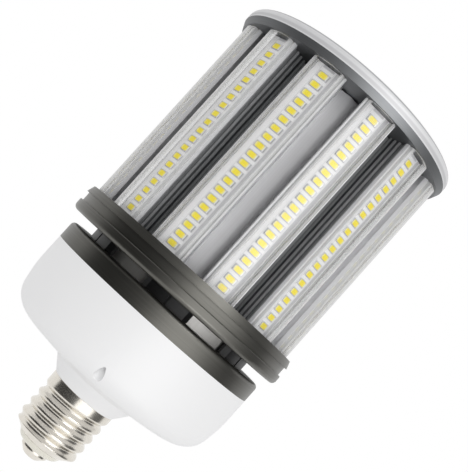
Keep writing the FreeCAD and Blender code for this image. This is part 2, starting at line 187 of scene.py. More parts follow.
# %% [markdown]
# ## Turned gunmetal
# The ring and the flange are cast, turned on a lathe and coated dark, and the plate under the top cover has
# a greyer, duller coat. The tool leaves rings around the axis, too fine to model. Noise that is squeezed
# along Z and along the radius, and slow around the axis, gives them, and it has no seam because it reads the
# direction from the axis and not an angle.

# %% Gunmetal finishes


def turned_noise(tree, across, along):
    """Noise that runs around the lamp's axis, as lathe marks do."""
    x, y, z = put(tree, "ShaderNodeSeparateXYZ", {0: object_place(tree)}).outputs
    flat = vector(tree, x, y)
    radius = put(tree, "ShaderNodeVectorMath", {0: flat}, operation="LENGTH").outputs["Value"]
    heading = put(tree, "ShaderNodeVectorMath", {0: flat}, operation="NORMALIZE").outputs["Vector"]
    turn = put(tree, "ShaderNodeSeparateXYZ", {0: heading}).outputs
    level = times(tree, plus(tree, z, radius), across)
    return noise_at(tree, vector(tree, times(tree, turn[0], along), times(tree, turn[1], along), level))


def turned_metal(name, dark, light, smooth, rough):
    """Dark coated metal with lathe marks."""
    material, tree, shader = blank_finish(name)
    rings = turned_noise(tree, 2200.0, 1.2)
    cast = stretched_noise(tree, (60, 60, 60))
    surface(tree, shader, blend_colours(tree, rings, dark, light), cast, smooth, rough, metallic=1.0)
    relief(tree, shader, rings, strength=0.15, depth=0.04 * MM)
    return material


gunmetal = turned_metal(
    "turned_gunmetal", dark=(0.096, 0.094, 0.086), light=(0.150, 0.147, 0.134), smooth=0.34, rough=0.42)
dress(gunmetal, "housing_ring", "lower_flange")
grey_coat = turned_metal(
    "grey_coat", dark=(0.135, 0.140, 0.145), light=(0.185, 0.190, 0.195), smooth=0.46, rough=0.54)
dress(grey_coat, "top_cap")

# %% [markdown]
# ## Drawn metal
# The sleeve behind the posts is a drawn aluminium tube, so every scratch on it runs along the lamp. An
# anisotropic shader would stretch the highlights, but it shows no single scratch. Noise that is fine across
# and very long along Z gives those die lines, and a cloudy one varies the sheen. Steel and tin take the same
# recipe further down.

# %% Sleeve finish


def die_lines(tree):
    """Fine lines along the lamp and broad clouds."""
    return stretched_noise(tree, (1500, 1500, 5)), stretched_noise(tree, (40, 40, 12), 2.0)


def drawn_metal(name, dark, light, smooth, rough):
    """Bare metal with lines along the lamp."""
    material, tree, shader = blank_finish(name)
    lines, clouds = die_lines(tree)
    surface(tree, shader, blend_colours(tree, lines, dark, light), clouds, smooth, rough, metallic=1.0)
    relief(tree, shader, lines, strength=0.12, depth=0.04 * MM)
    return material


bright_tube = drawn_metal(
    "drawn_tube", dark=(0.64, 0.63, 0.61), light=(0.74, 0.73, 0.71), smooth=0.56, rough=0.64)
dress(bright_tube, "air_sleeve")

# %% [markdown]
# ## A place on a light bar
# Twelve light bars stand around the core, and boards, covers and chips repeat with them. Each could have its
# own UV map, but the solids come in as loose triangles without one. So one function works out, from Object
# coordinates, how far a point lies across its bar, how far out and how high. It folds the angle around the
# lamp into one bar's share, and one material then serves all twelve.

# %% Place helpers
BARS = 12


def bar_place(tree):
    """Place across a bar, outward from the axis and up, and the angle from the front."""
    x, y, up = put(tree, "ShaderNodeSeparateXYZ", {0: object_place(tree)}).outputs
    radius = reckon(tree, "SQRT", plus(tree, times(tree, x, x), times(tree, y, y)))
    heading = reckon(tree, "ARCTAN2", x, times(tree, y, -1.0))
    from_bar = minus(tree, reckon(tree, "WRAP", heading, math.tau / BARS, 0.0), math.pi / BARS)
    across = times(tree, radius, reckon(tree, "SINE", from_bar))
    outward = times(tree, radius, reckon(tree, "COSINE", from_bar))
    return across, outward, up, heading


def ramp(tree, value, start, end):
    """0 at the start, 1 at the end and level beyond both. The start may be the larger of the two."""
    return put(tree, "ShaderNodeMapRange", {"Value": value, "From Min": start, "From Max": end}).outputs[0]


def band(tree, value, centre, half, soft):
    """1 where a value lies within half of the centre, falling to 0 over a soft edge."""
    off = reckon(tree, "ABSOLUTE", minus(tree, value, centre))
    return ramp(tree, off, half + soft, half)


print("one bar takes", 360 / BARS, "degrees")

# %% [markdown]
# ## Heat sinks
# The six heat sinks are extrusions with two lands for light bars each. At the seams between them the ribbed
# legs form narrow channels that look nearly black, and in the middle of each extrusion the wall is a smooth
# trough, which mirrors its surroundings. Light alone would need very many bounces to show how dark a channel
# is, so painted shade darkens its colour with depth, the rib edges get a paler painted light, and the trough
# turns metallic. The finish finds them by the angle from the nearest seam.

# %% Heat sink finish
SINKS = 6
HALF_SINK = math.pi / SINKS
CHANNEL_EDGE = (math.radians(11), math.radians(9))
TROUGH_EDGE = (math.radians(12), math.radians(14))
BEHIND_LANDS = (60.0 * MM, 59.4 * MM)
CHANNEL_DEPTH = (47.0 * MM, 57.0 * MM)
RIB_EDGE = (6.0 * MM, 6.7 * MM)

aluminium, tree, shader = blank_finish("drawn_aluminium")
lines, clouds = die_lines(tree)
across, outward, up, heading = bar_place(tree)
from_seam = minus(tree, HALF_SINK, reckon(tree, "PINGPONG", heading, HALF_SINK))
behind = ramp(tree, outward, *BEHIND_LANDS)
channel = times(tree, ramp(tree, from_seam, *CHANNEL_EDGE), behind)
trough = times(tree, ramp(tree, from_seam, *TROUGH_EDGE), behind)
depth = ramp(tree, outward, *CHANNEL_DEPTH)
ribs = ramp(tree, reckon(tree, "ABSOLUTE", across), *RIB_EDGE)
# Painted shade: the colour between the ribs darkens deeper in a channel, and the rib edges get a paler
# painted light.
painted_shade_between_ribs = blend_colours(tree, depth, (0.07, 0.075, 0.08), (0.24, 0.245, 0.25))
painted_light_rib_edges = blend_colours(tree, depth, (0.28, 0.285, 0.29), (0.56, 0.56, 0.57))
shade = blend_colours(tree, ribs, painted_shade_between_ribs, painted_light_rib_edges)
open_metal = blend_colours(tree, lines, (0.70, 0.70, 0.71), (0.78, 0.78, 0.79))
tree.links.new(blend_colours(tree, channel, open_metal, shade), shader.inputs["Base Color"])
sheen = times(tree, spread(tree, clouds, 0.58, 0.68), spread(tree, trough, 1.0, 0.6))
tree.links.new(sheen, shader.inputs["Roughness"])
tree.links.new(spread(tree, trough, 0.10, 0.90), shader.inputs["Metallic"])
shader.inputs["Specular IOR Level"].default_value = 0.2
relief(tree, shader, lines, strength=0.12, depth=0.04 * MM)


def numbered(stem, count):
    """Names of the nodes in a numbered family."""
    return [stem + str(i + 1) for i in range(count)]


dress(aluminium, *numbered("heat_sink_", SINKS))

# %% [markdown]
# ## Light top plate
# The plate on the end is pale satin metal, turned like the dark parts but with a finer mark. Two darker
# lines of painted shade run around its edge, one below the upper rim and a softer one near the foot. Modelled
# as steps they would be finer than the plate's own mesh, so two bands of height darken the colour instead.

# %% Top plate finish
LIP_DROP, LIP_HALF, LIP_SOFT = 0.8 * MM, 0.3 * MM, 0.4 * MM
FOOT_SHADE_RISE, FOOT_SHADE_HALF, FOOT_SHADE_SOFT = 1.5 * MM, 0.5 * MM, 0.7 * MM
FOOT_SHADE_SHARE = 0.5
plate_low, plate_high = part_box("top_cover")

satin, tree, shader = blank_finish("satin_plate")
rings = turned_noise(tree, 3000.0, 1.0)
level = put(tree, "ShaderNodeSeparateXYZ", {0: object_place(tree)}).outputs[2]
# Painted shade: two bands of height darken the plate's colour below the rim and near the foot.
rim_shade_band = band(tree, level, plate_high.z - LIP_DROP, LIP_HALF, LIP_SOFT)
foot_shade_band = band(tree, level, plate_low.z + FOOT_SHADE_RISE, FOOT_SHADE_HALF, FOOT_SHADE_SOFT)
painted_shade_lines = largest(tree, rim_shade_band, times(tree, foot_shade_band, FOOT_SHADE_SHARE))
pale_rings = blend_colours(tree, rings, (0.64, 0.64, 0.65), (0.71, 0.71, 0.72))
plate_with_painted_shade = blend_colours(tree, painted_shade_lines, pale_rings, (0.42, 0.42, 0.43))
surface(tree, shader, plate_with_painted_shade, rings, smooth=0.54, rough=0.62, metallic=0.15, gloss=0.3)
relief(tree, shader, rings, strength=0.08, depth=0.03 * MM)
dress(satin, "top_cover")

# %% [markdown]
# ## Black nylon posts
# The posts in the vent are moulded in black nylon. A flat black would swallow their slots and bevels, so the
# colour stays dark while a fine grain leaves a soft gloss along the edges.

# %% Post finish
nylon, tree, shader = blank_finish("black_nylon")
grain = stretched_noise(tree, (1800, 1800, 1800))
black = blend_colours(tree, grain, (0.003, 0.003, 0.004), (0.007, 0.007, 0.008))
surface(tree, shader, black, grain, smooth=0.32, rough=0.40, gloss=0.4)
relief(tree, shader, grain, strength=0.15, depth=0.05 * MM)
dress(nylon, "vent_posts")

# %% [markdown]
# ## Ivory insulator
# The cone between shell and contact is pressed glass or ceramic with a soft gloss. Light that wanders under
# the surface could be traced, but on so small a cone a cloudy two-tone colour and an uneven gloss look the
# same and render faster.

# %% Insulator finish
ivory, tree, shader = blank_finish("ivory_insulator")
clouds = stretched_noise(tree, (120, 120, 120))
cream = blend_colours(tree, clouds, (0.72, 0.69, 0.60), (0.80, 0.78, 0.70))
surface(tree, shader, cream, clouds, smooth=0.22, rough=0.32)
relief(tree, shader, clouds, strength=0.05, depth=0.1 * MM)
dress(ivory, "base_insulator")

# %% [markdown]
# ## Bright nickel
# The contact and the screw shell are brass with bright nickel, which is smooth but never quite even. A
# perfect mirror would look false, so clouds vary its warmth and its roughness, and faint rolled lines run
# around the axis.

# %% Nickel finish
nickel, tree, shader = blank_finish("bright_nickel")
clouds = stretched_noise(tree, (220, 220, 90))
rolled = turned_noise(tree, 2600.0, 2.0)
plated = blend_colours(tree, clouds, (0.66, 0.62, 0.55), (0.80, 0.77, 0.71))
surface(tree, shader, plated, clouds, smooth=0.20, rough=0.27, metallic=1.0)
relief(tree, shader, rolled, strength=0.015, depth=0.03 * MM)
dress(nickel, "centre_contact")

# %% [markdown]
# ## Pieces inside
# The driver can't be seen in the closed lamp, but a solid without a finish would show as soon as someone
# takes the housing off. One function with two colours and a noise is enough for each of these.

# %% Finishes inside


def inside_finish(name, node, dark, light, scale, smooth):
    """A two-tone finish on a piece inside the lamp."""
    material, tree, shader = blank_finish(name)
    noise = stretched_noise(tree, scale)
    surface(tree, shader, blend_colours(tree, noise, dark, light), noise, smooth, smooth + 0.15)
    relief(tree, shader, noise, strength=0.1, depth=0.1 * MM)
    dress(material, node)


inside_finish(
    "green_laminate", "driver_board", dark=(0.02, 0.10, 0.05), light=(0.04, 0.17, 0.08),
    scale=(300, 300, 300), smooth=0.35)
inside_finish(
    "winding_tape", "driver_transformer", dark=(0.55, 0.40, 0.06), light=(0.68, 0.52, 0.10),
    scale=(40, 40, 900), smooth=0.3)
inside_finish(
    "capacitor_sleeve", "driver_capacitors", dark=(0.02, 0.02, 0.05), light=(0.05, 0.05, 0.10),
    scale=(60, 60, 500), smooth=0.3)
inside_finish(
    "lead_jacket", "led_leads", dark=(0.45, 0.04, 0.03), light=(0.55, 0.06, 0.05),
    scale=(400, 400, 100), smooth=0.4)

# %% [markdown]
# ## White light boards
# Each light bar is a narrow board with white solder mask. A grey band around every chip gives its solder pad
# together with painted shade at the chip's foot, a painted shadow runs as a grey strip along one side, and
# two faint lines follow the copper under the mask. A drawing of the board could be laid on as a picture, but
# the chips' spacing is known, so the height is folded into one chip's pitch and the place on the bar does the
# rest.

# %% Board finish
CHIPS = 20
CHIP = Vector((5.7, 0.8, 3.0)) * MM
row_low, row_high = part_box("led_chips_1")
pitch = (row_high.z - row_low.z - CHIP.z) / (CHIPS - 1)
first_chip = row_low.z + CHIP.z / 2
PAD_LENGTH, PAD_WIDTH = (1.6 * MM, 0.5 * MM), (3.1 * MM, 0.7 * MM)
SHADOW_STRIP = (5.3 * MM, 0.9 * MM, 0.3 * MM)
COPPER_LINE = (3.9 * MM, 0.10 * MM, 0.1 * MM)
LINE_SHARE = 0.5

mask_white, tree, shader = blank_finish("solder_mask")
across, outward, up, heading = bar_place(tree)
upward = reckon(tree, "DIVIDE", minus(tree, up, first_chip), pitch)
along = times(tree, reckon(tree, "PINGPONG", upward, 0.5), pitch)
# Painted shade: the grey around each chip is partly solder pad and partly painted shade, and the side strip
# is a painted shadow; the copper lines are print.
pad_and_shade = times(tree, band(tree, along, 0.0, *PAD_LENGTH), band(tree, across, 0.0, *PAD_WIDTH))
copper_line = band(tree, reckon(tree, "ABSOLUTE", across), *COPPER_LINE)
pads_copper_and_shade = largest(tree, pad_and_shade, times(tree, copper_line, LINE_SHARE), band(tree, across, *SHADOW_STRIP))
mottle = stretched_noise(tree, (500, 500, 500))
white = blend_colours(tree, mottle, (0.90, 0.90, 0.91), (0.93, 0.93, 0.94))
board_with_painted_shade = blend_colours(tree, pads_copper_and_shade, white, (0.60, 0.60, 0.62))
surface(tree, shader, board_with_painted_shade, mottle, smooth=0.42, rough=0.52, gloss=0.12)
relief(tree, shader, minus(tree, 1.0, pads_copper_and_shade), strength=0.4, depth=0.06 * MM)
dress(mask_white, *numbered("led_board_", BARS))
print("chip pitch", round(pitch / MM, 3), "mm, first chip at", round(first_chip / MM, 2), "mm")

# %% [markdown]
# ## Clear covers
# Each bar slides under an arched cover of clear polycarbonate. True refraction would take many samples to
# light the chips behind it, so the cover is a mix: most light goes straight through, the Fresnel share is
# mirrored, and haze scatters some. The haze grows where the sheet is seen at a slant, in the side walls and
# in the feet that sit in their grooves, because light takes a longer way through the plastic there.

# %% Cover finish
SLANT, SLANT_HAZE = (0.54, 0.78), 0.8
FEET, FOOT_HAZE = (62.6 * MM, 62.2 * MM), 0.8
WALLS, WALL_HAZE = (6.9 * MM, 7.9 * MM), 0.5


def mix_shaders(tree, factor, first, second):
    """One shader where the factor is 0, the other where it is 1."""
    return put(tree, "ShaderNodeMixShader", {0: factor, 1: first, 2: second}).outputs[0]


clear, tree, shader = blank_finish("clear_cover")
lines = stretched_noise(tree, (900, 900, 6), 2.0)
shader.inputs["Base Color"].default_value = (0.9, 0.9, 0.9, 1)
shader.inputs["Metallic"].default_value = 1.0
tree.links.new(spread(tree, lines, 0.22, 0.30), shader.inputs["Roughness"])
relief(tree, shader, lines, strength=0.02, depth=0.02 * MM)
through = put(tree, "ShaderNodeBsdfTransparent", {"Color": (1, 1, 1, 1)}).outputs[0]
mirrored = put(tree, "ShaderNodeFresnel", {"IOR": 1.20}).outputs[0]
glossy = mix_shaders(tree, mirrored, through, shader.outputs[0])
across, outward, up, heading = bar_place(tree)
slant = put(tree, "ShaderNodeLayerWeight", {"Blend": 0.5}).outputs["Facing"]
at_slant = times(tree, ramp(tree, slant, *SLANT), SLANT_HAZE)
in_feet = times(tree, ramp(tree, outward, *FEET), FOOT_HAZE)
in_walls = times(tree, ramp(tree, reckon(tree, "ABSOLUTE", across), *WALLS), WALL_HAZE)
cloudy = largest(tree, at_slant, in_feet, in_walls)
haze = put(tree, "ShaderNodeBsdfDiffuse", {"Color": (0.78, 0.78, 0.78, 1)}).outputs[0]
tree.links.new(mix_shaders(tree, cloudy, glossy, haze), tree.nodes["Material Output"].inputs["Surface"])
dress(clear, *numbered("led_cover_", BARS))

# %% [markdown]
# ## Growing a piece
# A Geometry Nodes tree hangs on an object as a modifier. Its inputs are set by their identifiers before
# Blender first evaluates the object, and the evaluated result is copied into a plain mesh, so the finished
# piece carries no live tree. The same could be done with the mouse for each piece, but two functions do it
# the same way for all of them.

# %% Trees and growth


def new_tree(name, sizes):
    """A Geometry Nodes tree with named inputs: returns it, the inputs' outputs and the end socket."""
    tree = bpy.data.node_groups.new(name, "GeometryNodeTree")
    tree.interface.new_socket("Geometry", in_out="OUTPUT", socket_type="NodeSocketGeometry")
    for label, value in sizes.items():
        kind = "NodeSocketInt" if isinstance(value, int) else "NodeSocketFloat"
        tree.interface.new_socket(label, in_out="INPUT", socket_type=kind).default_value = value
    inputs = put(tree, "NodeGroupInput").outputs
    return tree, inputs, put(tree, "NodeGroupOutput").inputs[0]


def grow(name, tree, sizes):
    """Run a tree with these sizes and keep the result as a plain mesh in the lamp's frame."""
    piece = bpy.data.objects.new(name, bpy.data.meshes.new(name + "_start"))
    bpy.context.scene.collection.objects.link(piece)
    modifier = piece.modifiers.new("grow", "NODES")
    modifier.node_group = tree
    for item in tree.interface.items_tree:
        if item.in_out == "INPUT" and item.name in sizes:
            modifier[item.identifier] = sizes[item.name]
    graph = bpy.context.evaluated_depsgraph_get()
    mesh = bpy.data.meshes.new_from_object(piece.evaluated_get(graph), depsgraph=graph)
    piece.modifiers.clear()
    piece.data = mesh
    mesh.name = name
    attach(piece, "root")
    print(name, len(mesh.polygons), "faces")
    return piece


# %% [markdown]
# ## Nodes that every tree uses
# Moving, joining, merging and copying come up in all three trees of this lamp, so each has a function of one
# or two lines. The last one ends a tree: copies are made real, because the export drops instances, and get
# their finish.

# %% Geometry helpers


def moved(tree, geometry, **change):
    """The same geometry with another Translation, Rotation or Scale."""
    return put(tree, "GeometryNodeTransform", {"Geometry": geometry, **change}).outputs[0]


def joined(tree, *pieces):
    """Several geometries as one."""
    join = put(tree, "GeometryNodeJoinGeometry")
    for piece in pieces:
        tree.links.new(piece, join.inputs[0])
    return join.outputs[0]


def merged(tree, geometry, distance):
    """The same geometry with points closer than the distance made one."""
    return put(tree, "GeometryNodeMergeByDistance", {"Geometry": geometry, "Distance": distance}).outputs[0]


def on_points(tree, points, shape):
    """One copy of a shape on each point."""
    return put(tree, "GeometryNodeInstanceOnPoints", {"Points": points, "Instance": shape}).outputs[0]


def real_and_painted(tree, geometry, material):
    """The end of a tree: copies become real faces and get a finish."""
    real = put(tree, "GeometryNodeRealizeInstances", {0: geometry}).outputs[0]
    return put(tree, "GeometryNodeSetMaterial", {"Geometry": real, "Material": material}).outputs[0]


# %% [markdown]
# ## Resin and tin
# The body of a light chip is moulded resin, white at one end, and the frame around its window gets a painted
# grey shade. Its feet are tinned copper. The white end could be a piece of its own, but it lies flush with
# the rest, so a band across the bar colours it.

# %% Resin and foot finishes
WHITE_END = (2.45 * MM, 0.26 * MM, 0.10 * MM)

resin, tree, shader = blank_finish("white_resin")
mottle = stretched_noise(tree, (1200, 1200, 1200), 2.0)
# Painted shade: the grey of the frame around the window stands in for the shade that outlines each chip.
painted_shade_resin = blend_colours(tree, mottle, (0.52, 0.52, 0.53), (0.62, 0.62, 0.62))
across, outward, up, heading = bar_place(tree)
resin_shade_and_white_end = blend_colours(tree, band(tree, across, *WHITE_END), painted_shade_resin, (0.86, 0.86, 0.85))
surface(tree, shader, resin_shade_and_white_end, mottle, smooth=0.35, rough=0.5)
tinned = drawn_metal(
    "tinned_foot", dark=(0.62, 0.62, 0.62), light=(0.74, 0.74, 0.73), smooth=0.30, rough=0.45)
print("chip finishes:", resin.name, tinned.name)

# %% [markdown]
# ## Yellow phosphor
# The window of a chip is silicone with yellow phosphor, filled in as a drop, so it is thickest in the middle
# and thin and pale towards the ends. The lamp is off and nothing glows, so light scattered inside the
# silicone isn't traced: a colour that pales with the distance from the window's middle is enough.

# %% Phosphor finish
WINDOW_SHIFT = -0.22 * MM
THINNING, THIN_SHARE = (1.2 * MM, 2.6 * MM), 0.75

phosphor, tree, shader = blank_finish("yellow_phosphor")
mottle = stretched_noise(tree, (2400, 2400, 2400))
yellow = blend_colours(tree, mottle, (0.95, 0.77, 0.05), (1.0, 0.87, 0.09))
across, outward, up, heading = bar_place(tree)
from_middle = reckon(tree, "ABSOLUTE", minus(tree, across, WINDOW_SHIFT))
thin = times(tree, ramp(tree, from_middle, *THINNING), THIN_SHARE)
thinned = blend_colours(tree, thin, yellow, (0.94, 0.90, 0.62))
surface(tree, shader, thinned, mottle, smooth=0.40, rough=0.55, gloss=0.3)
relief(tree, shader, mottle, strength=0.1, depth=0.05 * MM)
print("window finish:", phosphor.name)

# %% [markdown]
# ## Size of a chip
# Each chip is a standard package on a board that faces away from the axis. How far out it sits could be
# written down again, but the solid knows it, so the furthest point of the first row along its bar's own
# direction is measured. That and the chip's other sizes become the inputs of one tree.

# %% Chip sizes


def bar_turn(number):
    """Angle of a light bar from the front."""
    return math.radians((number + 0.5) * 360 / BARS)


bar_outward = Vector((math.sin(bar_turn(0)), -math.cos(bar_turn(0)), 0))
chip_face = max(vertex.co.dot(bar_outward) for vertex in nodes["led_chips_1"].data.vertices)
ROW = {"Count": CHIPS, "Pitch": pitch, "First": first_chip, "Face": chip_face, "Turn": 0.0}
chip_tree, sizes, row_end = new_tree("chip_row", {
    **ROW, "Width": CHIP.x, "Thickness": CHIP.y, "Length": CHIP.z, "Window Width": 0.88,
    "Window Height": 0.92, "Corner": 0.9 * MM, "Shift": WINDOW_SHIFT, "Depth": 0.10 * MM,
    "Foot": 0.35 * MM, "Foot Length": 0.7, "Foot Height": 0.5, "Foot Drop": -0.24})
print("chips reach", round(chip_face / MM, 2), "mm from the axis")

# %% [markdown]
# ## Frame and lens
# A chip is a resin frame with a lens of phosphor set a little to one side. It could be cut from a block with
# booleans, but those are slow and leave odd faces. Instead the space between a rectangle and a smaller one
# with rounded corners is filled and thickened to a closed frame, and the opening itself is filled and
# thickened to the lens. The lens is a hair larger than its opening, so no gap shows.

# %% Frame and lens
LENS_LIFT = 0.05 * MM
LENS_PRESS = 1.01
CORNER_POINTS = 2


def fill(tree, *curves):
    """Faces between closed curves."""
    return put(tree, "GeometryNodeFillCurve", {"Curve": joined(tree, *curves)}, mode="TRIANGLES").outputs[0]


def oblong(tree, width, height):
    """A rectangle as a curve."""
    sides = {"Width": width, "Height": height}
    return put(tree, "GeometryNodeCurvePrimitiveQuadrilateral", sides).outputs[0]


def layer(tree, faces, thickness):
    """A closed layer on flat faces, thickened upwards."""
    raised = put(tree, "GeometryNodeExtrudeMesh", {
        "Mesh": faces, "Offset": vector(tree, z=thickness), "Offset Scale": 1.0,
        "Individual": False}, mode="FACES").outputs["Mesh"]
    base = put(tree, "GeometryNodeFlipFaces", {"Mesh": faces}).outputs[0]
    return merged(tree, joined(tree, raised, base), 0.001 * MM)


half_thickness = times(chip_tree, sizes["Thickness"], 0.5)
back = times(chip_tree, half_thickness, -1.0)
window = oblong(
    chip_tree, times(chip_tree, sizes["Width"], sizes["Window Width"]),
    times(chip_tree, sizes["Length"], sizes["Window Height"]))
opening = put(chip_tree, "GeometryNodeFilletCurve", {
    "Curve": moved(chip_tree, window, Translation=vector(chip_tree, sizes["Shift"])),
    "Count": CORNER_POINTS, "Radius": sizes["Corner"]}, mode="POLY").outputs[0]
rim = fill(chip_tree, oblong(chip_tree, sizes["Width"], sizes["Length"]), opening)
rim = moved(chip_tree, rim, Translation=vector(chip_tree, z=back))
frame_ring = layer(chip_tree, rim, sizes["Thickness"])
lens_foot = moved(
    chip_tree, fill(chip_tree, opening), Scale=(LENS_PRESS, LENS_PRESS, 1.0),
    Translation=vector(chip_tree, z=plus(chip_tree, back, LENS_LIFT)))
lens_gap = plus(chip_tree, sizes["Depth"], LENS_LIFT)
lens = layer(chip_tree, lens_foot, minus(chip_tree, sizes["Thickness"], lens_gap))
print("the lens starts", LENS_LIFT / MM, "mm above the board and is", LENS_PRESS, "times its opening")

# %% [markdown]
# ## Tinned feet
# A foot sticks out at each end of the chip, low down where it is soldered. A bent strip would be truer, but
# at a third of a millimetre only its end shows, so a small block on each side does.

# %% Chip feet
foot = put(chip_tree, "GeometryNodeMeshCube", {"Size": vector(
    chip_tree, sizes["Foot"], times(chip_tree, sizes["Length"], sizes["Foot Length"]),
    times(chip_tree, sizes["Thickness"], sizes["Foot Height"]))}).outputs[0]
half_width = times(chip_tree, sizes["Width"], 0.5)
foot_drop = times(chip_tree, sizes["Thickness"], sizes["Foot Drop"])
foot_places = [vector(chip_tree, times(chip_tree, half_width, side), z=foot_drop) for side in (1.0, -1.0)]
feet = joined(chip_tree, *[moved(chip_tree, foot, Translation=place) for place in foot_places])
print("feet:", len(foot_places), "on each chip")

# %% [markdown]
# ## A row of chips
# Twenty chips stand on each bar at one pitch. Copies could be placed by hand or with an Array modifier, but a
# line of points takes its count, pitch and start from the tree's inputs. Every point gets a copy of each
# part, the row is turned to its bar, and each part is made real and painted with its own finish.

# %% Chip row tree
UPRIGHT = (math.pi / 2, 0.0, 0.0)
middle = minus(chip_tree, half_thickness, sizes["Face"])
line = put(chip_tree, "GeometryNodeMeshLine", {
    "Count": sizes["Count"], "Start Location": vector(chip_tree, 0.0, middle, sizes["First"]),
    "Offset": vector(chip_tree, z=sizes["Pitch"])}).outputs[0]
row_parts = []
for shape, finish in ((feet, tinned), (frame_ring, resin), (lens, phosphor)):
    copies = on_points(chip_tree, line, moved(chip_tree, shape, Rotation=UPRIGHT))
    turned_row = moved(chip_tree, copies, Rotation=vector(chip_tree, z=sizes["Turn"]))
    row_parts.append(real_and_painted(chip_tree, turned_row, finish))
chip_tree.links.new(joined(chip_tree, *row_parts), row_end)
print("chip tree:", len(chip_tree.nodes), "nodes")

# %% [markdown]
# ## Twelve rows
# The tree runs once for each bar, with that bar's turn as its only change. Each row is a mesh of its own and
# takes the place of the plain blocks on that bar, so a single bar can still be picked out of the lamp.

# %% Twelve rows of chips
for number in range(BARS):
    row = grow("chip_row_" + str(number + 1), chip_tree, {"Turn": bar_turn(number)})
    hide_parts("led_chips_" + str(number + 1))

# %% [markdown]
# ## Rolled thread
# The shell is thin sheet with a thread rolled into it, so its section is a wave and not a cut groove. A
# profile could be swept along a helix, but its ends would stand open. Here a flat grid stands for the
# unrolled sheet: one side is the turn around the axis, the other the height. The radius drops where a helix
# passes, by a squared cosine of the distance from it, and the helix runs in and out softly.

# %% Thread tree
RUN_IN = (-0.25, 0.10)
RUN_OUT = (-0.25, 0.15)
shell_low, shell_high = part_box("screw_shell")
THREAD = {
    "Pitch": 6.35 * MM, "Depth": 1.8 * MM, "Turns": 4.25, "Collar": 5.1 * MM, "Crest": shell_high.x,
    "Bottom": shell_low.z, "Length": shell_high.z - shell_low.z,
    "End Radius": 13.8 * MM, "End Height": 4.2 * MM}


def eased(tree, value, start, end):
    """As ramp, with a soft beginning and end."""
    span = {"Value": value, "From Min": start, "From Max": end}
    return put(tree, "ShaderNodeMapRange", span, interpolation_type="SMOOTHSTEP").outputs[0]


shell_tree, sizes, shell_end = new_tree("rolled_shell", {**THREAD, "Around": 161, "Steps": 133})
grid = put(shell_tree, "GeometryNodeMeshGrid", {
    "Size X": 1.0, "Size Y": 1.0, "Vertices X": sizes["Around"], "Vertices Y": sizes["Steps"]}).outputs[0]
position = put(shell_tree, "GeometryNodeInputPosition").outputs[0]
flat = put(shell_tree, "ShaderNodeSeparateXYZ", {0: position}).outputs
turn = flat[0]
lift = times(shell_tree, plus(shell_tree, flat[1], 0.5), sizes["Length"])
helix_length = times(shell_tree, sizes["Turns"], sizes["Pitch"])
helix_low = minus(shell_tree, minus(shell_tree, sizes["Length"], sizes["Collar"]), helix_length)
from_helix = reckon(shell_tree, "DIVIDE", minus(shell_tree, lift, helix_low), sizes["Pitch"])
passes = minus(shell_tree, from_helix, turn)
whole = reckon(shell_tree, "ROUND", passes)
off = minus(shell_tree, passes, whole)
wave = reckon(shell_tree, "POWER", reckon(shell_tree, "COSINE", times(shell_tree, off, math.pi)), 2.0)
run = plus(shell_tree, whole, turn)
run_out = [plus(shell_tree, sizes["Turns"], edge) for edge in RUN_OUT]
fade_in = eased(shell_tree, run, *RUN_IN)
fade_out = minus(shell_tree, 1.0, eased(shell_tree, run, *run_out))
sink = times(shell_tree, times(shell_tree, wave, fade_in), fade_out)
threaded = minus(shell_tree, sizes["Crest"], times(shell_tree, sink, sizes["Depth"]))
print("thread:", THREAD["Turns"], "turns of", THREAD["Pitch"] / MM, "mm")

# %% [markdown]
# ## Shell wrapped to a tube
# At its lower end the shell narrows to a cone that meets the insulator. A smooth minimum of the thread's
# radius and the cone's rounds the corner between them as rolling does. Every point of the grid then goes to
# its angle and radius, and merging the first and last column closes the seam.

# %% Shell tree
CONE_BLEND = 0.6 * MM
cone_depth = minus(shell_tree, sizes["Crest"], sizes["End Radius"])
slope = reckon(shell_tree, "DIVIDE", cone_depth, sizes["End Height"])
cone = plus(shell_tree, times(shell_tree, lift, slope), sizes["End Radius"])
radius = reckon(shell_tree, "SMOOTH_MIN", threaded, cone, CONE_BLEND)
angle = times(shell_tree, turn, math.tau)
wrapped = vector(
    shell_tree, times(shell_tree, radius, reckon(shell_tree, "COSINE", angle)),
    times(shell_tree, radius, reckon(shell_tree, "SINE", angle)), plus(shell_tree, lift, sizes["Bottom"]))
tube = put(shell_tree, "GeometryNodeSetPosition", {"Geometry": grid, "Position": wrapped}).outputs[0]
closed = merged(shell_tree, tube, 0.005 * MM)
smooth = put(shell_tree, "GeometryNodeSetShadeSmooth", {"Geometry": closed}).outputs[0]
shell_tree.links.new(real_and_painted(shell_tree, smooth, nickel), shell_end)
print("shell tree:", len(shell_tree.nodes), "nodes")

# %% [markdown]
# ## Sheet thickness
# The grown tube is only a surface, and real sheet has an inside. A second grid could be wrapped at a smaller
# radius, but Solidify does it in one step and keeps the walls parallel in the thread. It works inwards, so
# the outer size stays.

# %% Screw shell
SHEET = 0.6 * MM
shell = grow("rolled_shell", shell_tree, THREAD)
thicken = shell.modifiers.new("sheet", "SOLIDIFY")
thicken.thickness = SHEET
thicken.offset = -1.0
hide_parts("screw_shell")

# %% [markdown]
# ## Screw head
# The screws have a pan head with a cross recess. The head is a cylinder under a flat cone, and two crossed
# blades are cut out of it. A bump could fake the cross, but the heads show on top of the plate, and a cut
# recess holds from close up and in the mesh itself.

# %% Screw head tree
HEAD = {"Head Radius": 2.9 * MM, "Head Height": 2.0 * MM, "Shank Radius": 1.5 * MM}
CROWN_HEIGHT, CROWN_RADIUS = 0.3, 0.72
BLADE_WIDTH, BLADE_LENGTH = 0.3, 1.1
HEAD_SIDES, SHANK_SIDES = 28, 16


def combined(tree, *pieces):
    """Solids joined into one closed solid."""
    union = put(tree, "GeometryNodeMeshBoolean", operation="UNION", solver="EXACT")
    for piece in pieces:
        tree.links.new(piece, union.inputs["Mesh 2"])
    return union.outputs[0]


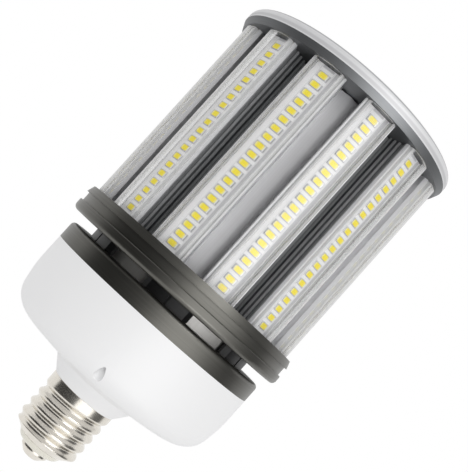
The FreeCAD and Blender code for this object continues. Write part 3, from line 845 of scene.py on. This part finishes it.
screw_tree, sizes, screw_end = new_tree("screw_circle", {
    **HEAD, "Count": 6, "Circle": 41.5 * MM, "Seat": 0.0, "Shank Length": 10 * MM,
    "First Turn": 0.0, "Up": 1.0})
crown_height = times(screw_tree, sizes["Head Height"], CROWN_HEIGHT)
straight = minus(screw_tree, sizes["Head Height"], crown_height)
drum = put(screw_tree, "GeometryNodeMeshCylinder", {
    "Vertices": HEAD_SIDES, "Radius": sizes["Head Radius"], "Depth": straight}).outputs[0]
drum = moved(screw_tree, drum, Translation=vector(screw_tree, z=times(screw_tree, straight, 0.5)))
crown = put(screw_tree, "GeometryNodeMeshCone", {
    "Vertices": HEAD_SIDES, "Radius Top": times(screw_tree, sizes["Head Radius"], CROWN_RADIUS),
    "Radius Bottom": sizes["Head Radius"], "Depth": crown_height}).outputs[0]
crown = moved(screw_tree, crown, Translation=vector(screw_tree, z=straight))
blade_width = times(screw_tree, sizes["Head Radius"], BLADE_WIDTH)
blade_length = times(screw_tree, sizes["Head Radius"], BLADE_LENGTH)
blades = []
for wide, long in ((blade_width, blade_length), (blade_length, blade_width)):
    blade_size = vector(screw_tree, wide, long, sizes["Head Height"])
    blade = put(screw_tree, "GeometryNodeMeshCube", {"Size": blade_size}).outputs[0]
    blades.append(moved(screw_tree, blade, Translation=vector(screw_tree, z=sizes["Head Height"])))
head_and_blades = {"Mesh 1": combined(screw_tree, drum, crown), "Mesh 2": combined(screw_tree, *blades)}
crossed = put(
    screw_tree, "GeometryNodeMeshBoolean", head_and_blades, operation="DIFFERENCE", solver="EXACT").outputs[0]
print("head:", 2 * HEAD["Head Radius"] / MM, "mm across")

# %% [markdown]
# ## A circle of screws
# Under the head comes a plain shank, because no thread shows in a seated screw. Screws sit on a circle around
# the axis, some with the head up and some with it down, so the tree turns one screw over where it has to and
# puts a copy on each point of the circle.

# %% Screw circle tree
steel = drawn_metal(
    "plated_steel", dark=(0.42, 0.42, 0.43), light=(0.55, 0.55, 0.56), smooth=0.25, rough=0.40)
shank = put(screw_tree, "GeometryNodeMeshCylinder", {
    "Vertices": SHANK_SIDES, "Radius": sizes["Shank Radius"], "Depth": sizes["Shank Length"]}).outputs[0]
shank_drop = vector(screw_tree, z=times(screw_tree, sizes["Shank Length"], -0.5))
screw = joined(screw_tree, crossed, moved(screw_tree, shank, Translation=shank_drop))
flip = times(screw_tree, minus(screw_tree, 1.0, sizes["Up"]), math.pi)
screw = moved(screw_tree, screw, Rotation=vector(screw_tree, flip))
circle = put(screw_tree, "GeometryNodeMeshCircle", {
    "Vertices": sizes["Count"], "Radius": sizes["Circle"]}).outputs[0]
circle = moved(
    screw_tree, circle, Translation=vector(screw_tree, z=sizes["Seat"]),
    Rotation=vector(screw_tree, z=sizes["First Turn"]))
screws = on_points(screw_tree, circle, screw)
screw_tree.links.new(real_and_painted(screw_tree, screws, steel), screw_end)
print("screw tree:", len(screw_tree.nodes), "nodes")

# %% [markdown]
# ## Screws in their holes
# Three groups of screws hold the cap, the flange and the housing. Their solids already stand in the right
# holes, so the circle, the seat and the length are measured from each solid's box and need no second set of
# numbers. The screws inside the posts keep their plain solid and get the steel finish.

# %% Screws in place
SMALL = {"Head Radius": 2.2 * MM, "Head Height": 1.7 * MM, "Shank Radius": 1.2 * MM}


def screw_ring(name, node, count, head, up):
    """Screws with a cross recess in place of a plain group, with their heads at its top or its bottom."""
    low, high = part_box(node)
    height = high.z - low.z - head["Head Height"]
    seat = high.z - head["Head Height"] if up else low.z + head["Head Height"]
    ring = grow(name, screw_tree, {
        **head, "Count": count, "Circle": -low.y - head["Head Radius"], "Seat": seat,
        "Shank Length": height, "First Turn": -math.pi / 2, "Up": 1.0 if up else 0.0})
    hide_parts(node)


screw_ring("cap_screw_ring", "cap_screws", 6, HEAD, True)
screw_ring("flange_screw_ring", "flange_screws", 6, HEAD, False)
screw_ring("housing_screw_ring", "housing_screws", 3, SMALL, False)
dress(steel, "post_screws")

# %% [markdown]
# ## Floor
# The lamp floats above a pale floor that only has to catch its shadow. A large plane would show an edge, and
# a bent backdrop would tint the background, so the floor turns clear with the distance from the lamp. Metal
# and covers don't see it either, and mirror the white surround instead.

# %% Floor
FLOOR_LEVEL = -0.12
FLOOR_SIDE = 2.0
FLOOR_FADE = (0.18, 0.42)


def flat_board(name, width, height, level=0.0):
    """A rectangle that lies flat, as a new object."""
    w, h = width / 2, height / 2
    mesh = bpy.data.meshes.new(name)
    corners = [(-w, -h, level), (w, -h, level), (w, h, level), (-w, h, level)]
    mesh.from_pydata(corners, [], [(0, 1, 2, 3)])
    board = bpy.data.objects.new(name, mesh)
    bpy.context.scene.collection.objects.link(board)
    return board


floor = flat_board("floor", FLOOR_SIDE, FLOOR_SIDE, FLOOR_LEVEL)
pale, tree, shader = blank_finish("pale_floor")
shader.inputs["Base Color"].default_value = (0.94, 0.94, 0.94, 1)
shader.inputs["Roughness"].default_value = 0.7
spot = put(tree, "ShaderNodeVectorMath", {0: object_place(tree)}, operation="LENGTH").outputs["Value"]
ray = put(tree, "ShaderNodeLightPath").outputs
hidden = largest(
    tree, eased(tree, spot, *FLOOR_FADE), ray["Is Glossy Ray"], ray["Is Transmission Ray"])
clear_edge = put(tree, "ShaderNodeBsdfTransparent").outputs[0]
faded = mix_shaders(tree, hidden, shader.outputs[0], clear_edge)
tree.links.new(faded, tree.nodes["Material Output"].inputs["Surface"])
floor.data.materials.append(pale)
print("floor at", FLOOR_LEVEL / MM, "mm")

# %% [markdown]
# ## White surround
# The lamp stands in a white studio. An environment picture would bring its own reflections, so the world is
# one white. The camera, metal and covers see it at full strength, and as a light it is a little weaker, so
# that pale pieces keep their shading.

# %% World
FILL = 0.86
world = bpy.data.worlds.new("white_surround")
bpy.context.scene.world = world
world.use_nodes = True
tree = world.node_tree
ray = put(tree, "ShaderNodeLightPath").outputs
seen = largest(tree, ray["Is Camera Ray"], ray["Is Glossy Ray"], ray["Is Transmission Ray"])
background = tree.nodes["Background"]
background.inputs["Color"].default_value = (1, 1, 1, 1)
tree.links.new(spread(tree, seen, FILL, 1.0), background.inputs["Strength"])
print("the surround lights with", FILL, "of its white")

# %% [markdown]
# ## Soft boxes
# A tall soft box to the right of the camera gives the broad band of light on the dark rings. One lamp strong
# enough for that band would bleach the white housing, so there are two in the same place: a gentle one that
# only lights, and a strong one that only mirrors and gloss see.

# %% Soft boxes


def stand_at(thing, azimuth, distance, level):
    """Place a lamp or card around the axis, facing it: azimuth 0 is the front, 90 is the right."""
    angle = math.radians(azimuth)
    place = Vector((math.sin(angle) * distance, -math.cos(angle) * distance, level))
    toward = (Vector((0, 0, level)) - place).normalized()
    facing = toward.to_track_quat("-Z", "Y").to_matrix().to_4x4()
    thing.matrix_world = Matrix.Translation(place) @ facing


def soft_box(name, glow, width, height, azimuth, distance, level):
    """An upright soft box, whose face glows so many times as bright as white paper in the surround."""
    light = bpy.data.lights.new(name, "AREA")
    light.shape = "RECTANGLE"
    light.size = width
    light.size_y = height
    light.energy = glow * math.pi * width * height
    lamp = bpy.data.objects.new(name, light)
    bpy.context.scene.collection.objects.link(lamp)
    stand_at(lamp, azimuth, distance, level)
    print(name, round(light.energy, 2), "W")
    return lamp


key_box = soft_box("key_box", glow=0.85, width=0.70, height=0.90, azimuth=30, distance=1.0, level=0.16)
key_box.visible_glossy = False
sheen_box = soft_box("sheen_box", glow=6.5, width=0.60, height=1.80, azimuth=30, distance=1.0, level=-0.10)
sheen_box.visible_diffuse = False

# %% [markdown]
# ## Cards for the metal
# Metal in an all-white room looks like white paint. A photographer puts up dark boards beside it, and so
# does this scene, left and right. A pale card close to the base keeps the strong soft box out of the nickel.
# Only mirrors see the cards, so they throw no shade on anything.

# %% Cards


def mirror_card(name, shade, width, height, azimuth, distance, level):
    """A board of one shade that only mirrors see."""
    card = flat_board(name, width, height)
    board, tree, shader = blank_finish(name + "_board")
    shader.inputs["Base Color"].default_value = (0, 0, 0, 1)
    shader.inputs["Specular IOR Level"].default_value = 0.0
    shader.inputs["Emission Color"].default_value = (1, 1, 1, 1)
    shader.inputs["Emission Strength"].default_value = shade
    card.data.materials.append(board)
    stand_at(card, azimuth, distance, level)
    card.visible_camera = False
    card.visible_diffuse = False
    card.visible_shadow = False
    print(name, "of shade", shade)


mirror_card("left_card", shade=0.06, width=2.0, height=1.5, azimuth=-41, distance=0.9, level=0.20)
mirror_card("right_card", shade=0.12, width=0.95, height=1.5, azimuth=79, distance=0.9, level=0.20)
mirror_card("base_card", shade=1.1, width=0.16, height=0.215, azimuth=30, distance=0.15, level=-0.0425)

# %% [markdown]
# ## Camera
# The camera stands half a metre from the axis, looks slightly up and is leaned over, so the lamp lies across
# the picture from corner to corner. Euler angles would hide the three separate turns, so the directions to
# the right, up and forward are worked out one by one and put together as a matrix.

# %% Camera
STAND_OFF = 0.4988
EYE_LEVEL = 0.1177
SWING = math.radians(0.82)
LOOK_UP = math.radians(1.95)
LEAN = math.radians(48.0)
right = Vector((math.cos(SWING), math.sin(SWING), 0))
ahead = Vector((-math.sin(SWING), math.cos(SWING), 0))
forward = ahead * math.cos(LOOK_UP) + Vector((0, 0, math.sin(LOOK_UP)))
upright = right.cross(forward)
frame_right = upright * math.cos(LEAN) + right * math.sin(LEAN)
frame_up = upright * math.sin(LEAN) - right * math.cos(LEAN)
turned_frame = Matrix((frame_right, frame_up, -forward)).transposed().to_4x4()
eye = Vector((0, 0, EYE_LEVEL)) - ahead * STAND_OFF
camera_data = bpy.data.cameras.new("camera")
camera_data.lens = 71.7
camera_data.shift_x = 0.0708
camera_data.shift_y = 0.0612
camera_data.clip_start = 0.01
camera = bpy.data.objects.new("camera", camera_data)
bpy.context.scene.collection.objects.link(camera)
camera.matrix_world = Matrix.Translation(eye) @ turned_frame
bpy.context.scene.camera = camera
bpy.context.scene.view_settings.view_transform = "Standard"
print("camera at", [round(c, 4) for c in eye])

# %% [markdown]
# ## End
# The scene is updated once more at the end.

# %% End
bpy.context.view_layer.update()
